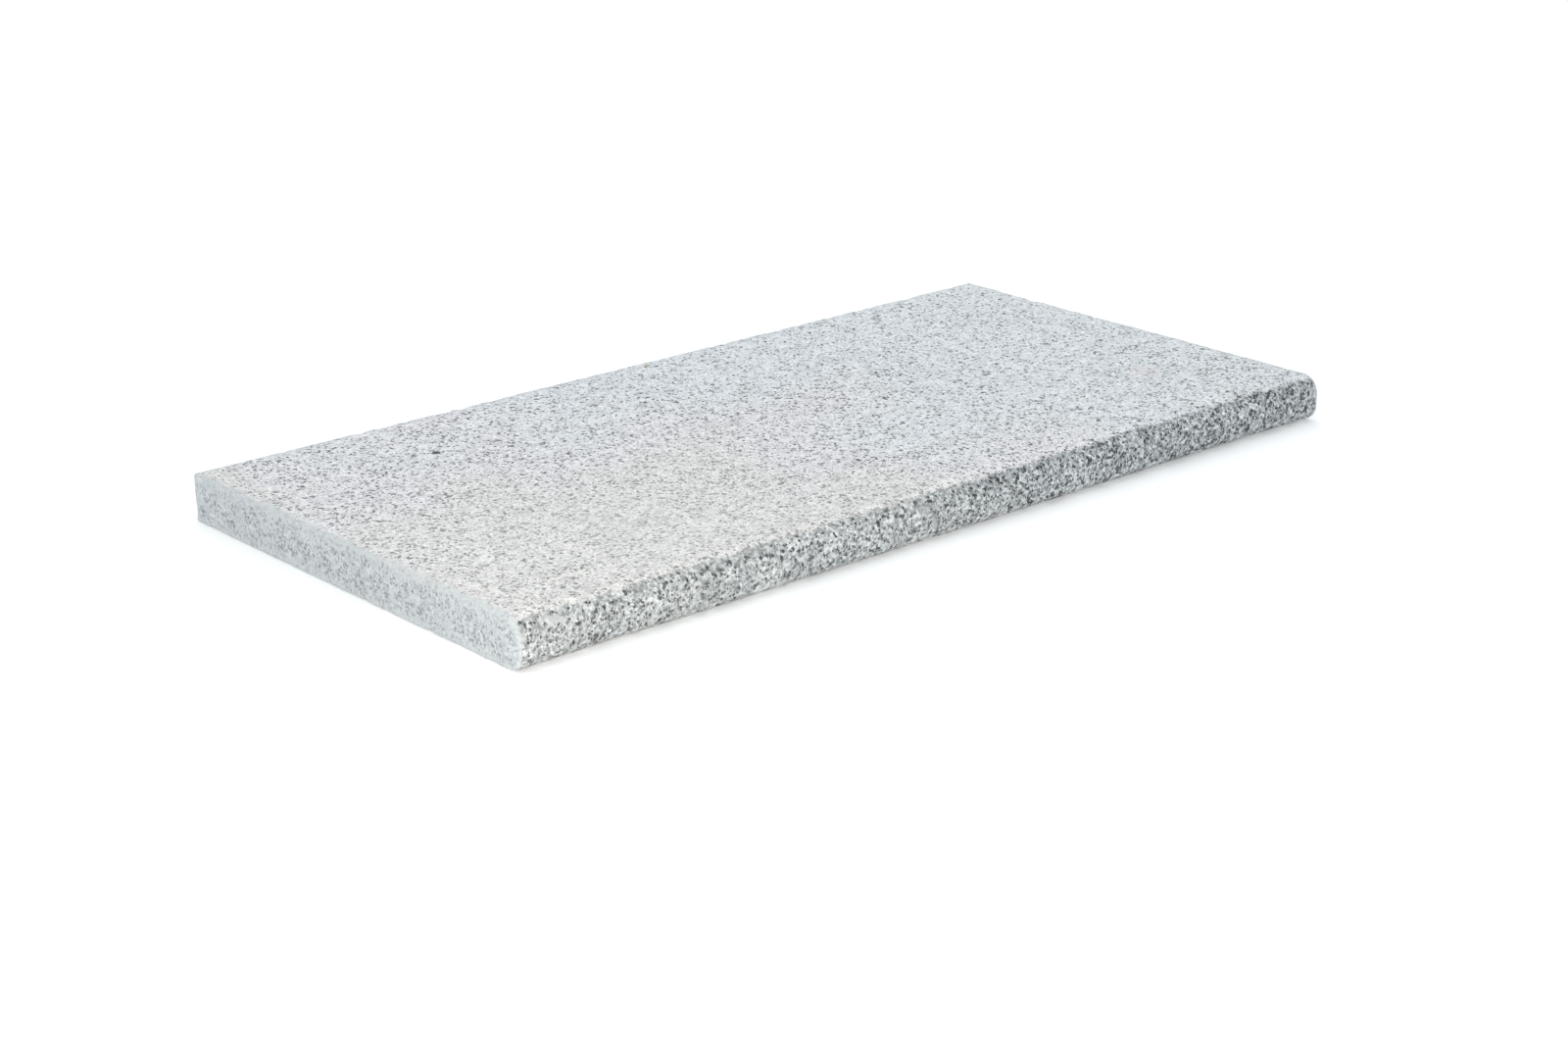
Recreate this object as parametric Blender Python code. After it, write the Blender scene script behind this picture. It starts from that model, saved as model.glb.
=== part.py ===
"""A granite coping slab: one solid block of stone with one long edge rounded as a nose.

Metres, +Z up. The origin is the middle of the underside. X runs along the slab's length, and the rounded
nose faces -Y.
"""

import math

import bmesh
import bpy

# Overall size of the slab
LENGTH = 0.600
DEPTH = 0.300
THICKNESS = 0.028

# The nose along the front edge: a quarter round above, a quarter round below, and flat stone between them
NOSE_TOP_RADIUS = 0.011
NOSE_BOTTOM_RADIUS = 0.010
NOSE_STEPS = 14

# The sawn arrises at the back and at both ends are eased by hand, so that they don't chip
ARRIS_EASE = 0.0012
ARRIS_STEPS = 2
ARRIS_ANGLE = math.radians(40)

# Pale grey granite, unpolished
STONE_COLOUR = (0.61, 0.63, 0.64, 1.0)
STONE_ROUGHNESS = 0.75

SMOOTH_ANGLE = math.radians(30)


def clear_scene():
    """Remove everything that a new file starts with."""
    for thing in list(bpy.data.objects):
        bpy.data.objects.remove(thing, do_unlink=True)


def stone_material():
    material = bpy.data.materials.new("granite")
    material.use_nodes = True
    shader = material.node_tree.nodes["Principled BSDF"]
    shader.inputs["Base Color"].default_value = STONE_COLOUR
    shader.inputs["Roughness"].default_value = STONE_ROUGHNESS
    shader.inputs["Metallic"].default_value = 0.0
    return material


def quarter_round(centre_y, centre_z, radius, start, steps):
    """Points (y, z) on a quarter circle that turns anticlockwise, seen from +X, from the angle start."""
    angles = [start + math.radians(90) * step / steps for step in range(steps + 1)]
    return [(centre_y + radius * math.cos(a), centre_z + radius * math.sin(a)) for a in angles]


def section_outline():
    """The slab's section, anticlockwise seen from +X: back face, top, nose, underside."""
    front = -DEPTH / 2
    back = DEPTH / 2
    nose_top = quarter_round(
        front + NOSE_TOP_RADIUS, THICKNESS - NOSE_TOP_RADIUS, NOSE_TOP_RADIUS, math.radians(90), NOSE_STEPS
    )
    nose_bottom = quarter_round(
        front + NOSE_BOTTOM_RADIUS, NOSE_BOTTOM_RADIUS, NOSE_BOTTOM_RADIUS, math.radians(180), NOSE_STEPS
    )
    return [(back, 0.0), (back, THICKNESS)] + nose_top + nose_bottom


def granite_slab(material):
    """The section at the left end, extruded along the length, with its sharp arrises eased."""
    shape = bmesh.new()
    outline = [shape.verts.new((-LENGTH / 2, y, z)) for y, z in section_outline()]
    end_face = shape.faces.new(outline)
    swept = bmesh.ops.extrude_face_region(shape, geom=[end_face])
    far_end = [item for item in swept["geom"] if isinstance(item, bmesh.types.BMVert)]
    bmesh.ops.translate(shape, verts=far_end, vec=(LENGTH, 0.0, 0.0))
    bmesh.ops.recalc_face_normals(shape, faces=shape.faces)
    mesh = bpy.data.meshes.new("granite_slab")
    shape.to_mesh(mesh)
    shape.free()
    mesh.shade_smooth()
    mesh.set_sharp_from_angle(angle=SMOOTH_ANGLE)
    mesh.materials.append(material)

    slab = bpy.data.objects.new("granite_slab", mesh)
    bpy.context.collection.objects.link(slab)
    ease = slab.modifiers.new("eased arrises", "BEVEL")
    ease.width = ARRIS_EASE
    ease.segments = ARRIS_STEPS
    ease.limit_method = "ANGLE"
    ease.angle_limit = ARRIS_ANGLE
    return slab


clear_scene()
granite_slab(stone_material())
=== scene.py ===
"""The looks of a granite coping slab: a flamed top, a honed nose, and sawn ends, back and underside."""

import math

import bpy
import numpy as np
from mathutils import Matrix, Vector


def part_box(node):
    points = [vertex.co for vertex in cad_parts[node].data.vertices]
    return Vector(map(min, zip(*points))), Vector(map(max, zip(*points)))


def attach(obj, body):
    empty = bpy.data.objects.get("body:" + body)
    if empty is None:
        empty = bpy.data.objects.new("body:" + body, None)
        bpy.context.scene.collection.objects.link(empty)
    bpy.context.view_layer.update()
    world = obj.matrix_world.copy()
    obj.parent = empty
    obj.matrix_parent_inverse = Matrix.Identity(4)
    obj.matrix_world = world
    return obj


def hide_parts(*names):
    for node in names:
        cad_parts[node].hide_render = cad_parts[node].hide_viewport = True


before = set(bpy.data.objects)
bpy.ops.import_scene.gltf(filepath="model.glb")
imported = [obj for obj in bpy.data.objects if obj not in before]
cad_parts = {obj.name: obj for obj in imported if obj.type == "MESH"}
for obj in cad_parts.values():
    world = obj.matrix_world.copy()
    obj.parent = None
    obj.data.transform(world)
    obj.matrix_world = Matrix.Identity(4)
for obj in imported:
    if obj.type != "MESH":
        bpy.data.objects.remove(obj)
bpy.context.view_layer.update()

# ---------------------------------------------------------------- sizes, in metres
slab_low, slab_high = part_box("granite_slab")
BACK = slab_high.y
FRONT = slab_low.y
HALF_LENGTH = slab_high.x
THICKNESS = slab_high.z

NOSE_TOP_RADIUS = 0.011
NOSE_BOTTOM_RADIUS = 0.010
BACK_ARRIS = 0.0018
END_ARRIS = 0.0012

# How finely the stone is divided
FACE_POINTS = 110
EDGE_POINTS = 10
EDGE_BAND = 0.010
NOSE_ARC_STEPS = 10
BACK_ARC_STEPS = 4
SIDE_STEPS = 26
END_ARC_STEPS = 4
STATIONS = 318

# Which sides of the section are sawn: top, nose, underside, back
SAWN_SIDES = (0, 0, 1, 1)

# Relief of each finish, from the mean surface
FLAMED_RELIEF = 0.00028
HONED_RELIEF = 0.00008
NOSE_WANDER = 0.00035
SAWN_RELIEF = 0.00004
ARRIS_WEAR = 0.0004
ARRIS_WEAR_REACH = 0.0030
CHIP_DEPTH = 0.0012
CHIP_REACH = 0.0032
CHIP_SIZE = 0.0055
LOWER_CHIPS = 0.22
LOWER_CHIPS_REACH = 0.004

# How far in from an arris its speckle is rubbed faint
RUB_REACH = 0.0085

# How far the dull sawn finish of an end spills over its arrises
SAWN_SPILL = 0.0032

# Where the flamed top gives way to the honed nose, measured back from the front
FINISH_LINE = 0.0058

# Chips that stand out, each as its place, its radius and its depth
PLACED_CHIPS = [
    ((0.030, -0.1490, 0.0010), 0.0050, 0.0011),
    ((-0.300, -0.0740, 0.0000), 0.0035, 0.0011),
    ((-0.300, 0.1430, 0.0280), 0.0040, 0.0010),
    ((0.300, 0.0900, 0.0280), 0.0040, 0.0008),
    ((-0.120, 0.1500, 0.0280), 0.0060, 0.0010),
]

# Single marks, each as its place, its radius, its colour and how strongly it shows: a large flake of mica, a
# speck of rust, a faint reddish smear, and a cluster of quartz on the nose
PLACED_MARKS = [
    ((-0.1807, 0.0889, THICKNESS), 0.0023, (0.020, 0.022, 0.025, 1.0), 0.95),
    ((0.0143, 0.1429, THICKNESS), 0.0022, (0.360, 0.290, 0.160, 1.0), 0.75),
    ((0.2317, -0.0704, THICKNESS), 0.0110, (0.700, 0.610, 0.630, 1.0), 0.30),
    ((-0.2796, -0.1500, 0.0233), 0.0040, (0.600, 0.612, 0.612, 1.0), 0.55),
]


# ---------------------------------------------------------------- noise on whole arrays
def lattice_value(cell, seed):
    """A repeatable number from 0 to 1 for each lattice cell: its whole numbers and the seed, scrambled."""
    whole = cell.astype(np.int64).astype(np.uint32)
    mixed = whole[:, 0] * np.uint32(374761393) + whole[:, 1] * np.uint32(668265263)
    mixed = mixed + whole[:, 2] * np.uint32(2246822519) + np.uint32(seed * 3266489917 % 2**32)
    mixed = (mixed ^ (mixed >> np.uint32(15))) * np.uint32(2246822519)
    mixed = (mixed ^ (mixed >> np.uint32(13))) * np.uint32(3266489917)
    return (mixed ^ (mixed >> np.uint32(16))).astype(float) / 2**32


def noise(points, size, seed):
    """Smooth noise from -1 to 1 with bumps about size across.

    Each point lies in a lattice cell, whose eight corner values are blended by 3t^2 - 2t^3 on each axis.
    """
    place = points / size
    cell = np.floor(place)
    t = place - cell
    t = t * t * (3.0 - 2.0 * t)
    total = np.zeros(len(points))
    for corner in np.ndindex(2, 2, 2):
        step = np.array(corner)
        weight = np.prod(np.where(step == 1, t, 1.0 - t), axis=1)
        total += weight * lattice_value(cell + step, seed)
    return 2.0 * total - 1.0


def layered_noise(points, size, seed, layers):
    """Noise of size, plus half as much of half the size, and so on."""
    parts = [noise(points, size / 2**k, seed + k) / 2**k for k in range(layers)]
    return np.sum(parts, axis=0)


def rise(value, low, high):
    """0 below low, 1 above high, and a straight line between them."""
    return np.clip((value - low) / (high - low), 0.0, 1.0)


# ---------------------------------------------------------------- the stone's surface
def spread(start, end):
    """FACE_POINTS places from start to end: evenly close in a band at each end, and evenly wider between."""
    direction = math.copysign(1.0, end - start)
    knots = [0, EDGE_POINTS, FACE_POINTS - 1 - EDGE_POINTS, FACE_POINTS - 1]
    places = [start, start + direction * EDGE_BAND, end - direction * EDGE_BAND, end]
    return np.interp(np.arange(FACE_POINTS), knots, places)


def arc(centre_y, centre_z, radius, start, steps):
    """A quarter circle, as places and outward directions.

    P(a) = centre + radius (cos a, sin a), with a from start to start + 90 degrees.
    """
    angle = math.radians(start) + np.linspace(0.0, math.pi / 2, steps + 1)
    outward = np.column_stack([np.cos(angle), np.sin(angle)])
    return np.array([centre_y, centre_z]) + radius * outward, outward


def rounded_side(upper, lower, steps):
    """Two quarter circles with a straight run between them, as places and outward directions."""
    straight_steps = steps - (len(upper[0]) - 1) - (len(lower[0]) - 1)
    t = np.linspace(0.0, 1.0, straight_steps + 1)[1:-1, None]
    run = upper[0][-1] * (1.0 - t) + lower[0][0] * t
    places = np.vstack([upper[0], run, lower[0]])
    outward = np.vstack([upper[1], np.repeat(upper[1][-1:], len(run), axis=0), lower[1]])
    return places, outward


def section_sides():
    """The section's four sides in turn, seen from +X: top (back to front), nose, underside, back."""
    nose = rounded_side(
        arc(FRONT + NOSE_TOP_RADIUS, THICKNESS - NOSE_TOP_RADIUS, NOSE_TOP_RADIUS, 90, NOSE_ARC_STEPS),
        arc(FRONT + NOSE_BOTTOM_RADIUS, NOSE_BOTTOM_RADIUS, NOSE_BOTTOM_RADIUS, 180, NOSE_ARC_STEPS),
        SIDE_STEPS,
    )
    back = rounded_side(
        arc(BACK - BACK_ARRIS, BACK_ARRIS, BACK_ARRIS, 270, BACK_ARC_STEPS),
        arc(BACK - BACK_ARRIS, THICKNESS - BACK_ARRIS, BACK_ARRIS, 0, BACK_ARC_STEPS),
        SIDE_STEPS,
    )
    top_y = spread(BACK - BACK_ARRIS, FRONT + NOSE_TOP_RADIUS)
    under_y = spread(FRONT + NOSE_BOTTOM_RADIUS, BACK - BACK_ARRIS)
    top = np.column_stack([top_y, np.full(FACE_POINTS, THICKNESS)])
    under = np.column_stack([under_y, np.zeros(FACE_POINTS)])
    up = np.tile([0.0, 1.0], (FACE_POINTS, 1))
    return (top, up), nose, (under, -up), back


def sweep_stations():
    """Places along the length, with how far each section is drawn in and how far its arris has turned.

    Round an end arris of radius r the angle a goes from 0 to 90 degrees: x = r sin a, draw = r - r cos a. The
    turn is a as a share of 90 degrees.
    """
    angle = np.linspace(0.0, math.pi / 2, END_ARC_STEPS + 1)[1:]
    straight_end = HALF_LENGTH - END_ARRIS
    edge = straight_end - EDGE_BAND
    straight = np.interp(
        np.arange(STATIONS),
        [0, EDGE_POINTS, STATIONS - 1 - EDGE_POINTS, STATIONS - 1],
        [-straight_end, -edge, edge, straight_end],
    )
    round_x = straight_end + END_ARRIS * np.sin(angle)
    round_draw = END_ARRIS * (1.0 - np.cos(angle))
    x = np.concatenate([-round_x[::-1], straight, round_x])
    draw = np.concatenate([round_draw[::-1], np.zeros(STATIONS), round_draw])
    turn = np.concatenate([angle[::-1], np.zeros(STATIONS), angle]) / (math.pi / 2)
    return x, draw, turn


def cap_grid(top, nose, under, back):
    """The inside points of an end face, blended from its four sides.

    P(u, v) = (1 - v) top(u) + v under(u) + (1 - u) back(v) + u nose(v) - the same blend of the four corners.
    """
    u = np.linspace(0.0, 1.0, len(top))[None, :, None]
    v = np.linspace(0.0, 1.0, len(nose))[:, None, None]
    rows = (1 - v) * top[None] + v * under[None]
    columns = (1 - u) * back[:, None] + u * nose[:, None]
    corners = (1 - v) * ((1 - u) * top[0] + u * top[-1]) + v * ((1 - u) * under[0] + u * under[-1])
    return (rows + columns - corners)[1:-1, 1:-1]


def grid_faces(grid):
    """Four-cornered faces between neighbours in a grid of point numbers."""
    return np.stack([grid[:-1, :-1], grid[:-1, 1:], grid[1:, 1:], grid[1:, :-1]], axis=-1).reshape(-1, 4)


def smooth_slab():
    """The stone before any relief: the section swept along the length, closed by a grid at each end.

    Returns its points, its faces, and for each point how sawn its finish is, from 0 to 1.
    """
    sides = section_sides()
    outline = np.vstack([places[:-1] for places, outward in sides])
    outward = np.vstack([outward[:-1] for places, outward in sides])
    finishes = [np.full(len(places) - 1, kind) for (places, _), kind in zip(sides, SAWN_SIDES)]
    is_sawn = np.concatenate(finishes)
    around = len(outline)
    x, draw, turn = sweep_stations()

    section = outline[None] - draw[:, None, None] * outward[None]
    body = np.concatenate([np.broadcast_to(x[:, None, None], section.shape[:2] + (1,)), section], axis=2)
    sawn = np.maximum(is_sawn[None], turn[:, None]).astype(float)
    number = np.arange(len(x) * around).reshape(len(x), around)
    closed = np.concatenate([number, number[:, :1]], axis=1)
    points = [body.reshape(-1, 3)]
    sawn_parts = [sawn.reshape(-1)]
    faces = [grid_faces(closed)]

    total = number.size
    top_end = FACE_POINTS - 1
    nose_end = top_end + SIDE_STEPS
    under_end = nose_end + FACE_POINTS - 1
    for end, flip in ((0, True), (-1, False)):
        ring = closed[end]
        top = ring[: top_end + 1]
        nose = ring[top_end : nose_end + 1]
        under = ring[nose_end : under_end + 1][::-1]
        back = ring[under_end:][::-1]
        corner_points = points[0]
        inside = cap_grid(corner_points[top], corner_points[nose], corner_points[under], corner_points[back])
        grid = np.empty((len(nose), len(top)), dtype=int)
        grid[0] = top
        grid[-1] = under
        grid[:, 0] = back
        grid[:, -1] = nose
        grid[1:-1, 1:-1] = total + np.arange(inside[..., 0].size).reshape(inside.shape[:2])
        total += inside[..., 0].size
        points.append(inside.reshape(-1, 3))
        sawn_parts.append(np.ones(inside[..., 0].size))
        quads = grid_faces(grid)
        faces.append(quads[:, ::-1] if flip else quads)
    return np.vstack(points), np.vstack(faces), np.concatenate(sawn_parts)


def outward_directions(points, faces):
    """Each point's outward direction, of length 1: the summed cross products of its faces' diagonals."""
    across = np.cross(points[faces[:, 2]] - points[faces[:, 0]], points[faces[:, 3]] - points[faces[:, 1]])
    total = np.zeros_like(points)
    for corner in range(4):
        for axis in range(3):
            total[:, axis] += np.bincount(faces[:, corner], across[:, axis], len(points))
    return total / np.linalg.norm(total, axis=1, keepdims=True)


def section_depth(y, z):
    """How deep a point lies under the nearest side of the section."""
    nose = y - FRONT
    over_y = y - (FRONT + NOSE_TOP_RADIUS)
    over_z = z - (THICKNESS - NOSE_TOP_RADIUS)
    nose = np.where((over_y < 0) & (over_z > 0), NOSE_TOP_RADIUS - np.hypot(over_y, over_z), nose)
    low_y = y - (FRONT + NOSE_BOTTOM_RADIUS)
    low_z = z - NOSE_BOTTOM_RADIUS
    nose = np.where((low_y < 0) & (low_z < 0), NOSE_BOTTOM_RADIUS - np.hypot(low_y, low_z), nose)
    return np.minimum.reduce([nose, BACK - y, THICKNESS - z, z])


def arris_distance(points):
    """How far a point on the surface lies from the nearest arris.

    That is the larger of its depths under the two faces that meet there.
    """
    x, y, z = points.T
    end_depth = HALF_LENGTH - np.abs(x)
    around_end = np.maximum(end_depth, section_depth(y, z))
    along_back = np.maximum(BACK - y, np.minimum(THICKNESS - z, z))
    return np.minimum(around_end, along_back)


def chip_depth(points, arris):
    """How much stone has broken away: small chips where noise is high along an arris, and the placed ones.

    More break off along the lower arrises, on which the slab is stood while it is handled.
    """
    low_down = rise(THICKNESS / 2 - points[:, 2], 0.0, LOWER_CHIPS_REACH)
    lumps = layered_noise(points, CHIP_SIZE, 41, 2) + LOWER_CHIPS * low_down
    depth = CHIP_DEPTH * rise(lumps, 0.30, 1.05) * rise(CHIP_REACH - arris, 0.0, CHIP_REACH)
    for place, radius, deepest in PLACED_CHIPS:
        away = np.linalg.norm(points - np.array(place), axis=1) / radius
        ragged = away + 0.25 * noise(points, 0.003, 47)
        depth = np.maximum(depth, deepest * np.clip(1.0 - ragged**2, 0.0, 1.0))
    return depth


def carved_slab():
    """The stone with its relief: each point moves along its outward direction by the height of its finish.

    The underside stays flat at Z = 0. Each point is marked with how sawn, how rubbed and how chipped it is.
    """
    points, faces, sawn = smooth_slab()
    outward = outward_directions(points, faces)
    arris = arris_distance(points)
    on_nose = rise(FRONT + FINISH_LINE - points[:, 1], -0.001, 0.001) * (1.0 - sawn)
    on_top = (1.0 - on_nose) * (1.0 - sawn)
    chips = chip_depth(points, arris)

    height = on_top * FLAMED_RELIEF * layered_noise(points, 0.008, 3, 2)
    height += on_nose * HONED_RELIEF * layered_noise(points, 0.006, 7, 2)
    near_front = rise(-0.100 - points[:, 1], 0.0, 0.04)
    height += (on_top + on_nose) * NOSE_WANDER * noise(points, 0.060, 11) * near_front
    height += sawn * SAWN_RELIEF * noise(points, 0.012, 13)
    wear = rise(ARRIS_WEAR_REACH - arris, 0.0, ARRIS_WEAR_REACH)
    height -= wear**2 * ARRIS_WEAR * (0.6 + 0.4 * layered_noise(points, 0.014, 17, 2))
    height -= chips
    rub_reach = RUB_REACH * (1.0 - 0.5 * on_nose) * (0.8 + 0.4 * layered_noise(points, 0.012, 23, 2))
    rubbed = np.clip(1.0 - arris / rub_reach, 0.0, 1.0)
    spill = SAWN_SPILL * np.maximum(1.0 + 0.8 * layered_noise(points, 0.009, 29, 2), 0.1)
    dulled = np.maximum(sawn, np.clip(1.0 - (HALF_LENGTH - np.abs(points[:, 0])) / spill, 0.0, 1.0))
    underneath = (outward[:, 2] < -0.5) & (points[:, 2] < 0.001)
    height = np.where(underneath, np.minimum(height, 0.0), height)

    moved = points + outward * height[:, None]
    moved[:, 2] = np.maximum(moved[:, 2], 0.0)
    return moved, faces, {"sawn": dulled, "rubbed": rubbed, "chip": rise(chips, 0.0, 0.0006)}


def make_piece(name, points, faces, marks):
    """A mesh object from arrays of points and four-cornered faces, with each mark's number at each point."""
    mesh = bpy.data.meshes.new(name)
    mesh.vertices.add(len(points))
    mesh.vertices.foreach_set("co", points.astype(np.float32).ravel())
    mesh.loops.add(faces.size)
    mesh.loops.foreach_set("vertex_index", faces.astype(np.int32).ravel())
    mesh.polygons.add(len(faces))
    mesh.polygons.foreach_set("loop_start", np.arange(0, faces.size, 4, dtype=np.int32))
    mesh.update(calc_edges=True)
    mesh.validate()
    mesh.shade_smooth()
    for mark, values in marks.items():
        layer = mesh.attributes.new(mark, "FLOAT", "POINT")
        layer.data.foreach_set("value", values.astype(np.float32))
    piece = bpy.data.objects.new(name, mesh)
    bpy.context.collection.objects.link(piece)
    return piece


# ---------------------------------------------------------------- shader building blocks
VECTOR = "NodeSocketVector"
FLOAT = "NodeSocketFloat"
COLOUR = "NodeSocketColor"


def put(tree, kind, sockets=None, **settings):
    """Adds a node. A socket given another node's output is linked to it, and any other value is set on it."""
    node = tree.nodes.new(kind)
    for key, value in settings.items():
        setattr(node, key, value)
    for key, value in (sockets or {}).items():
        if isinstance(value, bpy.types.NodeSocket):
            tree.links.new(value, node.inputs[key])
        else:
            node.inputs[key].default_value = value
    return node


def maths(tree, operation, *values):
    return put(tree, "ShaderNodeMath", dict(enumerate(values)), operation=operation).outputs[0]


def vector_maths(tree, operation, *values):
    return put(tree, "ShaderNodeVectorMath", dict(enumerate(values)), operation=operation).outputs[0]


def scaled(tree, vector, factor):
    sockets = {"Vector": vector, "Scale": factor}
    return put(tree, "ShaderNodeVectorMath", sockets, operation="SCALE").outputs[0]


def measured(tree, operation, first, second):
    """One number from two vectors: their DISTANCE or their DOT_PRODUCT."""
    node = put(tree, "ShaderNodeVectorMath", {0: first, 1: second}, operation=operation)
    return node.outputs["Value"]


def ramp(tree, value, low, high, to_low=0.0, to_high=1.0):
    """A straight line from to_low at low to to_high at high, held outside them."""
    sockets = {"Value": value, "From Min": low, "From Max": high, "To Min": to_low, "To Max": to_high}
    return put(tree, "ShaderNodeMapRange", sockets, clamp=True).outputs[0]


def mix_colour(tree, factor, first, second, blend="MIX"):
    node = put(tree, "ShaderNodeMix", {0: factor, 6: first, 7: second}, data_type="RGBA", blend_type=blend)
    return node.outputs[2]


def tinted(tree, colour, tint):
    """The colour multiplied by a tint, or by one number for all three channels."""
    return mix_colour(tree, 1.0, colour, tint, blend="MULTIPLY")


def mix_value(tree, factor, first, second):
    return put(tree, "ShaderNodeMix", {0: factor, 2: first, 3: second}, data_type="FLOAT").outputs[0]


def cloud(tree, vector, scale, detail=2.0):
    """Soft noise, from about 0.3 to about 0.7."""
    sockets = {"Vector": vector, "Scale": scale, "Detail": detail, "Roughness": 0.55}
    return put(tree, "ShaderNodeTexNoise", sockets).outputs[0]


def mark_value(tree, name):
    """One of the numbers that the mesh carries at each point."""
    return put(tree, "ShaderNodeAttribute", attribute_name=name).outputs["Fac"]


def new_group(name, inputs, outputs):
    """A node group whose sockets are given as names and kinds, with its inner ends to build between."""
    group = bpy.data.node_groups.new(name, "ShaderNodeTree")
    for socket, kind in inputs:
        group.interface.new_socket(socket, in_out="INPUT", socket_type=kind)
    for socket, kind in outputs:
        group.interface.new_socket(socket, in_out="OUTPUT", socket_type=kind)
    return group, group.nodes.new("NodeGroupInput").outputs, group.nodes.new("NodeGroupOutput").inputs


def use_group(tree, group, sockets):
    return put(tree, "ShaderNodeGroup", sockets, node_tree=group).outputs


# ---------------------------------------------------------------- granite
CRYSTAL_SIZE = 0.00145
FINE_CRYSTAL_SIZE = 0.0013
BUMP_DEPTH = 0.0020

MICA = (0.010, 0.011, 0.012, 1.0)
FRESH_STONE = (0.680, 0.685, 0.690, 1.0)
FRESH_STONE_SHARE = 0.5

# The minerals from dark to pale, each as its place on a scale from 0 to 1 and its colour
MINERALS = [
    (0.00, (0.050, 0.055, 0.058, 1.0)),
    (0.12, (0.200, 0.213, 0.219, 1.0)),
    (0.34, (0.385, 0.399, 0.403, 1.0)),
    (0.62, (0.500, 0.514, 0.516, 1.0)),
    (0.90, (0.600, 0.612, 0.612, 1.0)),
    (1.00, (0.680, 0.690, 0.688, 1.0)),
]

# What veils the crystals in each finish, how much of it there is, and the tone of a rubbed arris there. The
# honed veil is painted light: its share changes along the nose, most at the left end, nearest the key
# softbox.
HONED_PAINTED_LIGHT = (0.460, 0.475, 0.475, 1.0)
HONED_RUBBED = (0.500, 0.515, 0.520, 1.0)
FLAMED_VEIL = (0.940, 0.940, 0.930, 1.0)
FLAMED_VEIL_SHARE = 0.44
FLAMED_RUBBED = (0.700, 0.710, 0.705, 1.0)
SAW_DUST = (0.545, 0.572, 0.598, 1.0)
SAW_DUST_SHARE = 0.50
SAWN_RUBBED = (0.550, 0.575, 0.585, 1.0)
SAWN_FLECKS = 0.46

# Roughness and strength of the bump in each finish
HONED_ROUGHNESS = 0.55
FLAMED_ROUGHNESS = 0.88
SAWN_ROUGHNESS = 0.80
HONED_BUMP = 0.25
FLAMED_BUMP = 1.0
SAWN_BUMP = 0.18

# Painted light colour: the tint of the flamed top, from the front left corner to the far right one, and of
# the nose from left to right, warm near the warm key softbox and blue away from it
WARM_TINT = (1.035, 1.000, 0.984, 1.0)
LILAC_TINT = (1.032, 1.000, 1.030, 1.0)
BLUE_TINT = (0.984, 1.000, 1.028, 1.0)
NOSE_LEFT_TINT = (1.005, 1.000, 0.992, 1.0)
NOSE_RIGHT_TINT = (0.976, 1.000, 1.018, 1.0)

# Saw marks are noise stretched along Z
SAW_STRETCH = (1.0, 1.0, 0.12)


def mineral_colour(tree, value):
    """The colour of the mineral at a value from 0, the darkest, to 1, the palest."""
    node = put(tree, "ShaderNodeValToRGB", {"Fac": value})
    stops = node.color_ramp.elements
    stops[0].position, stops[0].color = MINERALS[0]
    stops[1].position, stops[1].color = MINERALS[-1]
    for position, tone in MINERALS[1:-1]:
        stops.new(position).color = tone
    return node.outputs["Color"]


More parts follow.
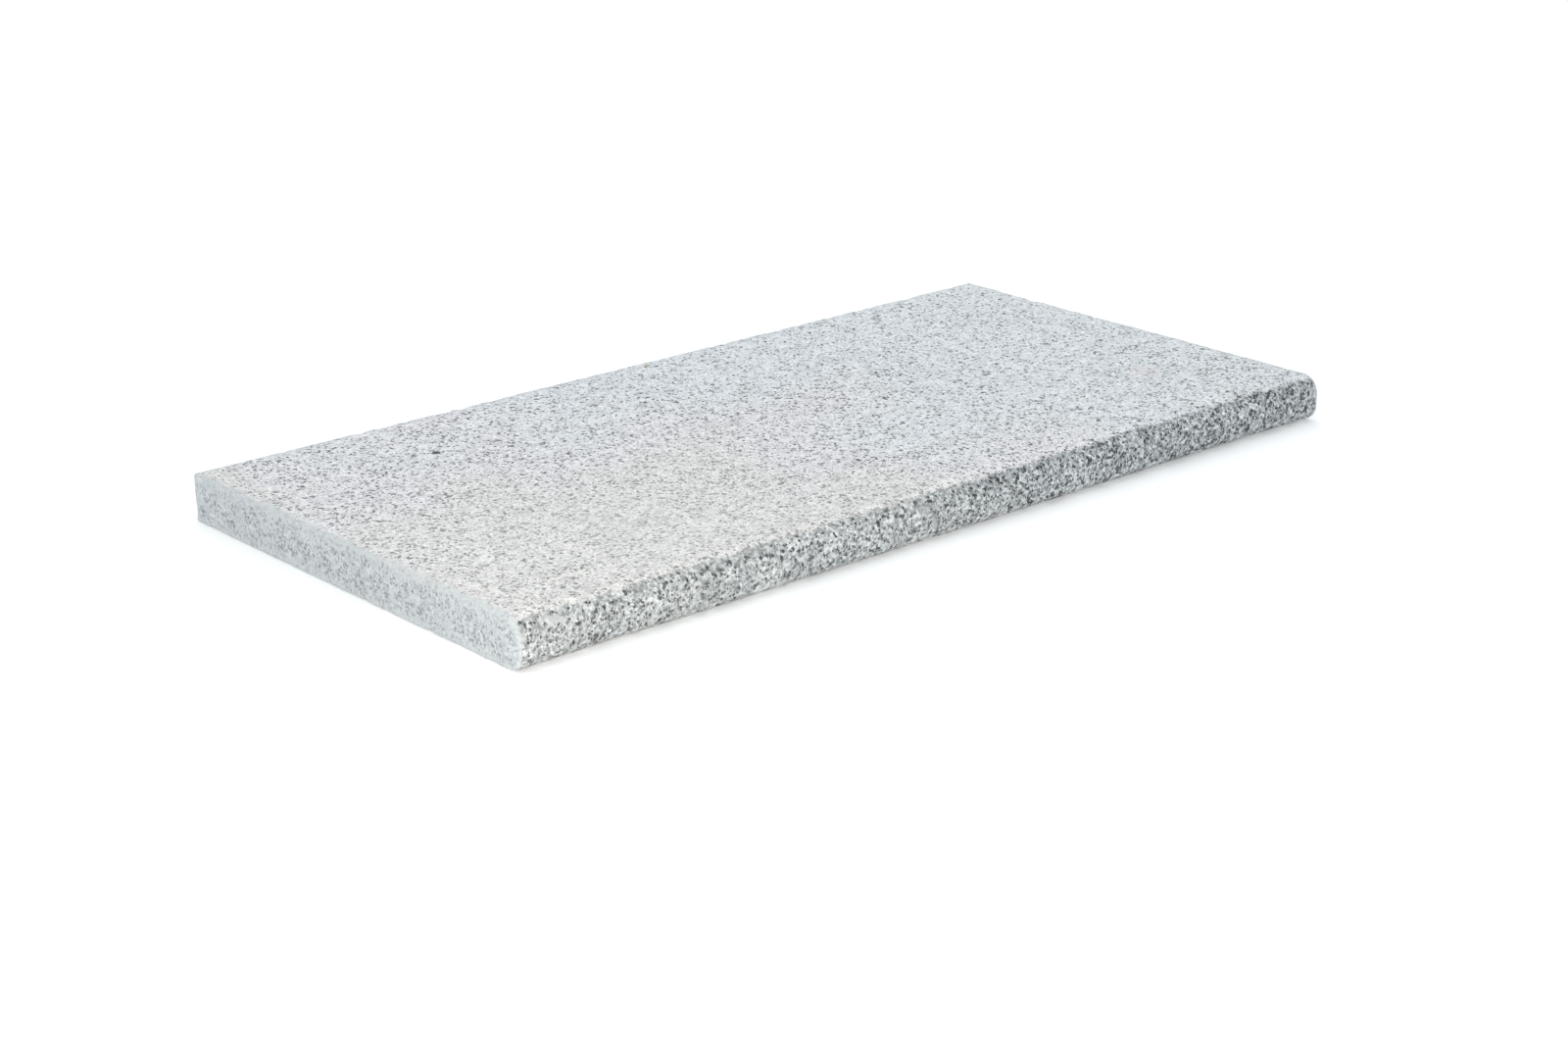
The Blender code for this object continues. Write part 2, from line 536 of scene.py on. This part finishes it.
def crystals_group():
    """Interlocking crystals: the cells of a warped Voronoi pattern in two sizes, each one mineral's colour.

    Fleck is the dark mica: small flakes from faint to full black, which gather in loose clusters.
    """
    group, given, result = new_group(
        "granite crystals",
        [("Vector", VECTOR), ("Crystal Size", FLOAT), ("Fleck Share", FLOAT)],
        [("Colour", COLOUR), ("Fleck", FLOAT)],
    )
    per_crystal = maths(group, "DIVIDE", 1.0, given["Crystal Size"])
    place = scaled(group, given["Vector"], per_crystal)
    warp_noise = put(group, "ShaderNodeTexNoise", {"Vector": place, "Scale": 1.3, "Detail": 2.0})
    warp = vector_maths(group, "SUBTRACT", warp_noise.outputs["Color"], (0.5, 0.5, 0.5))
    warped = vector_maths(group, "ADD", place, scaled(group, warp, 1.1))
    large = put(group, "ShaderNodeTexVoronoi", {"Vector": warped, "Scale": 0.75})
    small = put(group, "ShaderNodeTexVoronoi", {"Vector": warped, "Scale": 1.5})
    size_choice = ramp(group, cloud(group, place, 0.7), 0.49, 0.57)
    cell = mix_colour(group, size_choice, large.outputs["Color"], small.outputs["Color"])
    cell_parts = put(group, "ShaderNodeSeparateColor", {"Color": cell})
    inside_crystal = ramp(group, cloud(group, place, 3.5), 0.2, 0.8, -0.16, 0.16)
    crystal = maths(group, "ADD", cell_parts.outputs["Red"], inside_crystal)
    group.links.new(mineral_colour(group, crystal), result["Colour"])

    # each flake is one cell of another pattern, with its own size and darkness
    moved = vector_maths(group, "ADD", warped, (17.3, 5.1, 9.7))
    flakes = put(group, "ShaderNodeTexVoronoi", {"Vector": moved, "Scale": 0.8})
    flake_parts = put(group, "ShaderNodeSeparateColor", {"Color": flakes.outputs["Color"]})
    gather = ramp(group, cloud(group, place, 0.28), 0.35, 0.65, 0.3, 1.7)
    share = maths(group, "MULTIPLY", given["Fleck Share"], gather)
    chosen = maths(group, "LESS_THAN", flake_parts.outputs["Red"], share)
    mostly_small = maths(group, "POWER", flake_parts.outputs["Green"], 1.7)
    flake_size = maths(group, "MULTIPLY_ADD", mostly_small, 0.62, 0.27)
    ragged = maths(group, "MULTIPLY_ADD", inside_crystal, 1.4, flakes.outputs["Distance"])
    inside = ramp(group, maths(group, "SUBTRACT", flake_size, ragged), -0.03, 0.03)
    darkness = maths(group, "MULTIPLY_ADD", flake_parts.outputs["Blue"], 0.12, 0.88)
    shape = maths(group, "MULTIPLY", chosen, inside)
    fleck = maths(group, "MULTIPLY", shape, darkness)
    group.links.new(fleck, result["Fleck"])
    return group


def broken_relief_group():
    """Height of a flamed face, from 0 to 1: crystals split off at random levels, with grit on them."""
    group, given, result = new_group(
        "broken relief",
        [("Vector", VECTOR), ("Crystal Size", FLOAT)],
        [("Height", FLOAT)],
    )
    per_crystal = maths(group, "DIVIDE", 1.0, given["Crystal Size"])
    place = scaled(group, given["Vector"], per_crystal)
    lumps = cloud(group, place, 0.8, 3.0)
    grit = cloud(group, place, 3.1)
    cell_sockets = {"Vector": place, "Scale": 1.3}
    cells = put(group, "ShaderNodeTexVoronoi", cell_sockets, feature="SMOOTH_F1")
    cells.inputs["Smoothness"].default_value = 0.3
    height = maths(group, "MULTIPLY_ADD", lumps, 0.55, maths(group, "MULTIPLY", grit, 0.25))
    height = maths(group, "MULTIPLY_ADD", cells.outputs["Distance"], 0.35, height)
    group.links.new(height, result["Height"])
    return group


def mica_and_light_gradient(tree, place):
    """0 at the front left, 1 at the far right: steers the mica share and the painted light and shade on top
    and nose.
    """
    across = measured(tree, "DOT_PRODUCT", place, (0.9, 1.1, 0.0))
    wander = maths(tree, "MULTIPLY_ADD", cloud(tree, place, 8.0), 0.9, -0.45)
    return ramp(tree, maths(tree, "ADD", across, wander), -0.42, 0.42)


def flamed_mask(tree, place):
    """1 on the flamed top and 0 on the honed nose, which meet at the finish line, give or take a crystal."""
    y = put(tree, "ShaderNodeSeparateXYZ", {"Vector": place}).outputs["Y"]
    past_line = maths(tree, "SUBTRACT", y, FRONT + FINISH_LINE)
    jitter = maths(tree, "MULTIPLY_ADD", cloud(tree, place, 330.0), 0.006, -0.003)
    return ramp(tree, maths(tree, "ADD", past_line, jitter), -0.0012, 0.0012)


def veiled(tree, stone, veil, veil_share, fleck_strength):
    """The stone under a pale veil of bruised or dusty crystals, with its dark flakes as strong as given."""
    minerals = mix_colour(tree, veil_share, stone["Colour"], veil)
    fleck = maths(tree, "MULTIPLY", stone["Fleck"], fleck_strength)
    return mix_colour(tree, fleck, minerals, MICA)


def honed_finish(tree, place, stone, mica_and_light, patches):
    """The nose: crystals shown plainly, under painted light, paler and warm at the left and bluish at the
    right.
    """
    # painted light: the nose paler, with fainter flecks, at its left end, nearest the key softbox
    veil_share = ramp(tree, mica_and_light, 0.0, 0.35, 0.28, 0.0)
    fleck_strength = ramp(tree, mica_and_light, 0.0, 0.35, 0.85, 1.0)
    colour = veiled(tree, stone, HONED_PAINTED_LIGHT, veil_share, fleck_strength)
    colour = tinted(tree, colour, ramp(tree, patches, 0.32, 0.68, 0.88, 1.14))
    mottle = ramp(tree, cloud(tree, place, 400.0, 1.0), 0.36, 0.60, 0.62, 1.14)
    colour = tinted(tree, colour, mottle)
    # painted light colour: warm at the nose's left end, near the warm key softbox, and bluish at its right
    tint = mix_colour(tree, ramp(tree, mica_and_light, 0.0, 0.6), NOSE_LEFT_TINT, NOSE_RIGHT_TINT)
    return tinted(tree, colour, tint)


def flamed_finish(tree, stone, relief, mica_and_light, patches):
    """The top: bruised pale over its crystals, with painted shade in its hollows and painted light across the
    block.
    """
    fleck_strength = ramp(tree, mica_and_light, 0.1, 0.45, 0.60, 0.90)
    colour = veiled(tree, stone, FLAMED_VEIL, FLAMED_VEIL_SHARE, fleck_strength)
    # painted shade darkens the relief's hollows, partly as dirt, and painted light brightens its high points
    colour = tinted(tree, colour, ramp(tree, relief, 0.35, 0.62, 0.78, 1.30))
    # painted shade: darker towards the front left corner, which the key softbox lights most
    colour = tinted(tree, colour, ramp(tree, mica_and_light, 0.1, 0.8, 0.96, 1.0))
    colour = tinted(tree, colour, ramp(tree, patches, 0.32, 0.68, 0.97, 1.03))
    # painted light colour: warm at the front left, near the warm key softbox, through lilac to blue at the
    # far right
    tint = mix_colour(tree, ramp(tree, mica_and_light, 0.26, 0.40), WARM_TINT, LILAC_TINT)
    tint = mix_colour(tree, ramp(tree, mica_and_light, 0.46, 0.66), tint, BLUE_TINT)
    return tinted(tree, colour, tint)


def sawn_finish(tree, place, stone):
    """The ends, back and underside: dulled by saw dust, with faint upright saw marks."""
    colour = veiled(tree, stone, SAW_DUST, SAW_DUST_SHARE, SAWN_FLECKS)
    stretched = vector_maths(tree, "MULTIPLY", place, SAW_STRETCH)
    saw_marks = ramp(tree, cloud(tree, stretched, 260.0), 0.35, 0.65, 0.97, 1.03)
    return tinted(tree, colour, saw_marks)


def with_wear(tree, place, colour, is_flamed, sawn):
    """The colour with its arrises rubbed faint in patches, and fresh stone in its chips."""
    rubbed_tone = mix_colour(tree, is_flamed, HONED_RUBBED, FLAMED_RUBBED)
    rubbed_tone = mix_colour(tree, sawn, rubbed_tone, SAWN_RUBBED)
    patchy = ramp(tree, cloud(tree, place, 420.0, 1.0), 0.35, 0.60, 0.45, 1.15)
    rubbed = ramp(tree, mark_value(tree, "rubbed"), 0.0, 0.8, 0.0, 0.75)
    colour = mix_colour(tree, maths(tree, "MULTIPLY", rubbed, patchy), colour, rubbed_tone)
    chipped = maths(tree, "MULTIPLY", mark_value(tree, "chip"), FRESH_STONE_SHARE)
    return mix_colour(tree, chipped, colour, FRESH_STONE)


def placed_mark(tree, place, centre, radius, strength):
    """How strongly a ragged round mark shows at each point."""
    away = measured(tree, "DISTANCE", place, centre)
    ragged = maths(tree, "MULTIPLY_ADD", cloud(tree, place, 500.0), 0.8 * radius, away)
    return ramp(tree, ragged, 1.1 * radius, 1.5 * radius, strength, 0.0)


def granite_material():
    """One stone in three finishes, with its worn arrises, its chips and its single marks.

    The nose shows larger crystals than the other faces do, with more mica towards the right.
    """
    material = bpy.data.materials.new("grey granite")
    material.use_nodes = True
    tree = material.node_tree
    shader = tree.nodes["Principled BSDF"]
    place = put(tree, "ShaderNodeTexCoord").outputs["Object"]
    sawn = mark_value(tree, "sawn")
    is_flamed = flamed_mask(tree, place)
    mica_and_light = mica_and_light_gradient(tree, place)
    patches = cloud(tree, place, 70.0, 1.0)

    crystals = crystals_group()
    share = ramp(tree, mica_and_light, 0.0, 0.55, 0.25, 0.52)
    sockets = {"Vector": place, "Crystal Size": CRYSTAL_SIZE, "Fleck Share": share}
    stone = use_group(tree, crystals, sockets)
    drifting_share = ramp(tree, mica_and_light, 0.5, 1.0, 0.32, 0.22)
    share = maths(tree, "MULTIPLY", drifting_share, ramp(tree, patches, 0.32, 0.68, 1.3, 0.7))
    sockets = {"Vector": place, "Crystal Size": FINE_CRYSTAL_SIZE, "Fleck Share": share}
    fine_stone = use_group(tree, crystals, sockets)
    sockets = {"Vector": place, "Crystal Size": CRYSTAL_SIZE}
    relief = use_group(tree, broken_relief_group(), sockets)["Height"]

    honed = honed_finish(tree, place, stone, mica_and_light, patches)
    flamed = flamed_finish(tree, fine_stone, relief, mica_and_light, patches)
    colour = mix_colour(tree, is_flamed, honed, flamed)
    colour = mix_colour(tree, sawn, colour, sawn_finish(tree, place, fine_stone))
    colour = with_wear(tree, place, colour, is_flamed, sawn)
    for centre, radius, tone, strength in PLACED_MARKS:
        shown = placed_mark(tree, place, centre, radius, strength)
        colour = mix_colour(tree, shown, colour, tone)
    tree.links.new(colour, shader.inputs["Base Color"])

    roughness = mix_value(tree, is_flamed, HONED_ROUGHNESS, FLAMED_ROUGHNESS)
    roughness = mix_value(tree, sawn, roughness, SAWN_ROUGHNESS)
    tree.links.new(roughness, shader.inputs["Roughness"])

    bump_share = mix_value(tree, is_flamed, HONED_BUMP, FLAMED_BUMP)
    bump_share = mix_value(tree, sawn, bump_share, SAWN_BUMP)
    height = maths(tree, "MULTIPLY", relief, bump_share)
    bump = put(tree, "ShaderNodeBump", {"Height": height, "Distance": BUMP_DEPTH, "Strength": 1.0})
    tree.links.new(bump.outputs["Normal"], shader.inputs["Normal"])
    return material


# ---------------------------------------------------------------- floor, light and camera
FLOOR_GLOW = 0.12
FLOOR_SIZE = 12.0


def floor_material():
    """A pale matt floor that glows a little, so that only a soft shadow shows on it."""
    material = bpy.data.materials.new("pale studio floor")
    material.use_nodes = True
    shader = material.node_tree.nodes["Principled BSDF"]
    shader.inputs["Base Color"].default_value = (0.96, 0.96, 0.96, 1.0)
    shader.inputs["Roughness"].default_value = 0.9
    shader.inputs["Emission Color"].default_value = (1.0, 1.0, 1.0, 1.0)
    shader.inputs["Emission Strength"].default_value = FLOOR_GLOW
    return material


def make_floor(size):
    """A square of floor, size across, level with the slab's underside."""
    half = size / 2
    corners = [(-half, -half, 0.0), (half, -half, 0.0), (half, half, 0.0), (-half, half, 0.0)]
    mesh = bpy.data.meshes.new("studio_floor")
    mesh.from_pydata(corners, [], [(0, 1, 2, 3)])
    mesh.materials.append(floor_material())
    floor = bpy.data.objects.new("studio_floor", mesh)
    bpy.context.collection.objects.link(floor)
    return floor


def make_softbox(name, place, aim, size, power, colour):
    """A square area light at place, facing aim."""
    light = bpy.data.lights.new(name, "AREA")
    light.shape = "SQUARE"
    light.size = size
    light.energy = power
    light.color = colour
    holder = bpy.data.objects.new(name, light)
    holder.location = place
    holder.rotation_euler = (Vector(aim) - Vector(place)).to_track_quat("-Z", "Y").to_euler()
    holder.visible_camera = False
    bpy.context.collection.objects.link(holder)
    return holder


def make_camera(aim, azimuth, elevation, roll, distance, lens):
    """A camera that looks at aim from a distance, turned from +Y and raised. The angles are in degrees."""
    data = bpy.data.cameras.new("camera")
    data.lens = lens
    data.sensor_width = 36.0
    data.clip_end = 50.0
    camera = bpy.data.objects.new("camera", data)
    bpy.context.collection.objects.link(camera)
    turn = (
        Matrix.Rotation(math.radians(-azimuth), 4, "Z")
        @ Matrix.Rotation(math.radians(90.0 - elevation), 4, "X")
        @ Matrix.Rotation(math.radians(-roll), 4, "Z")
    )
    back_away = distance * (turn.to_3x3() @ Vector((0, 0, 1)))
    camera.matrix_world = Matrix.Translation(Vector(aim) + back_away) @ turn
    bpy.context.scene.camera = camera
    return camera


def make_world(colour, strength):
    """Even light of the given colour all round, which the camera sees as a plain white backdrop."""
    world = bpy.data.worlds.new("studio")
    world.use_nodes = True
    tree = world.node_tree
    light = put(tree, "ShaderNodeBackground", {"Color": (*colour, 1.0), "Strength": strength})
    backdrop = put(tree, "ShaderNodeBackground", {"Color": (1.0, 1.0, 1.0, 1.0), "Strength": 1.0})
    seen = put(tree, "ShaderNodeLightPath").outputs["Is Camera Ray"]
    either = put(tree, "ShaderNodeMixShader", {0: seen, 1: light.outputs[0], 2: backdrop.outputs[0]})
    tree.links.new(either.outputs[0], tree.nodes["World Output"].inputs["Surface"])
    bpy.context.scene.world = world


make_camera(
    aim=(-0.0880, -0.1003, 0.0140), azimuth=41.33, elevation=19.62, roll=0.33, distance=1.5517, lens=66.56
)
make_world((0.93, 0.975, 1.0), 0.95)
make_softbox("overhead_softbox", (0.1, 0.3, 1.5), (0, 0, 0), 1.6, 4.0, (0.97, 0.99, 1.0))
make_softbox("key_softbox", (-0.56, -0.54, 0.18), (-0.25, -0.12, 0), 0.25, 1.6, (1.0, 0.95, 0.87))
bpy.context.scene.view_settings.view_transform = "Standard"

slab_points, slab_faces, slab_marks = carved_slab()
slab = make_piece("granite_stone", slab_points, slab_faces, slab_marks)
slab.data.materials.append(granite_material())
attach(slab, "root")
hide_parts("granite_slab")

make_floor(FLOOR_SIZE)
